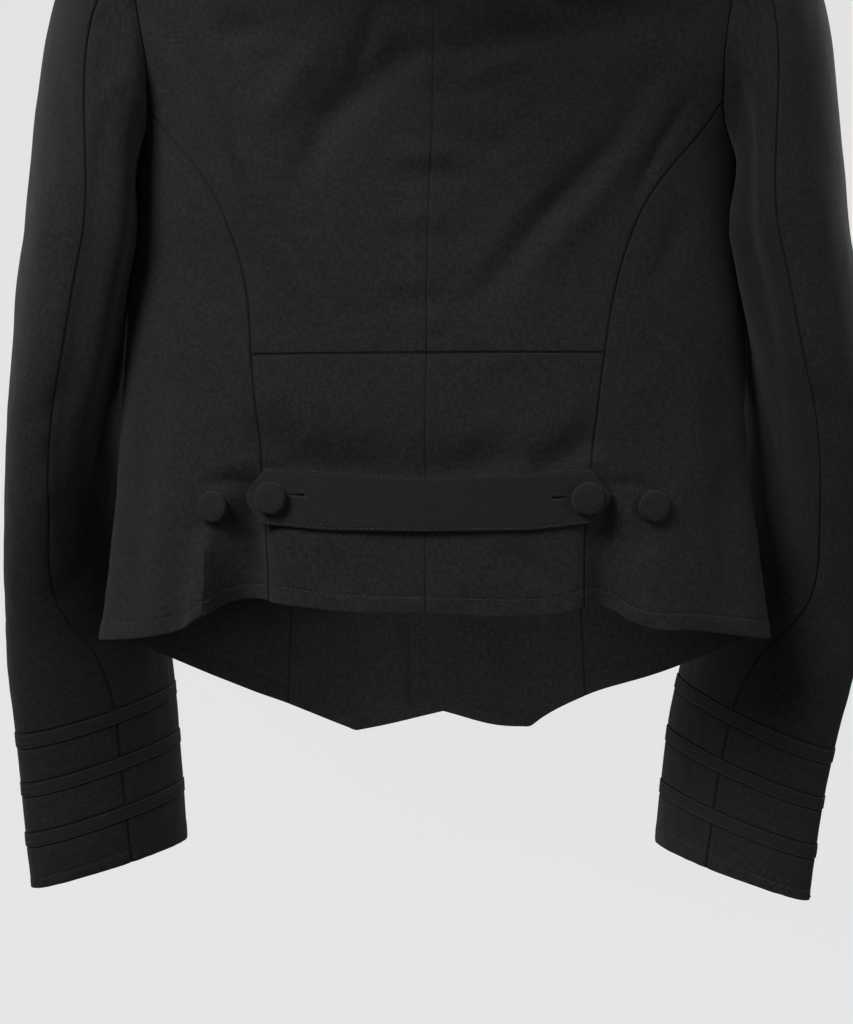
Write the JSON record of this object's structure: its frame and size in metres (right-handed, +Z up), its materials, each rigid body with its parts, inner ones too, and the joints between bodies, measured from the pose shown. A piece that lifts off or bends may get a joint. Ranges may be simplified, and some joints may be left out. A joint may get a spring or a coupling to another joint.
{
  "type": "napoleon jacket",
  "caption": "Fitted black jacket with a stand collar, princess seams, a buttoned herringbone half belt, pointed fronts and braided cuffs, hanging on a plain hanger.",
  "frame": {"origin": "seat of the hanger's hook: the inside of the top of its bend, where a rail or peg carries it", "axes": "+Z up, +X towards the wearer's right, the back of the jacket faces -Y and its front +Y"},
  "size_m": [0.5682, 0.2056, 0.7994],
  "materials": {
    "suiting": "matte plain weave",
    "herringbone": "matte herringbone twill",
    "covered_button": "matte cloth over a shell",
    "hanger_wood": "satin",
    "hook_steel": "satin"
  },
  "bodies": {
    "root": {"back_upper_left": "suiting", "back_upper_right": "suiting", "back_lower_left": "suiting", "back_lower_right": "suiting", "side_back_left": "suiting", "side_back_right": "suiting", "side_front_left": "suiting", "side_front_right": "suiting", "front_left": "suiting", "front_right": "suiting", "upper_sleeve_left": "suiting", "upper_sleeve_right": "suiting", "under_sleeve_left": "suiting", "under_sleeve_right": "suiting", "collar": "suiting", "half_belt": "herringbone", "braid_left_1": "herringbone", "braid_left_2": "herringbone", "braid_left_3": "herringbone", "braid_right_1": "herringbone", "braid_right_2": "herringbone", "braid_right_3": "herringbone", "button_belt_left": "covered_button", "button_belt_right": "covered_button", "button_outer_left": "covered_button", "button_outer_right": "covered_button", "button_front_1": "covered_button", "button_front_2": "covered_button", "button_front_3": "covered_button", "button_front_4": "covered_button", "button_front_5": "covered_button", "button_front_6": "covered_button", "hanger_body": "hanger_wood", "hanger_hook": "hook_steel"}
  },
  "joints": []
}
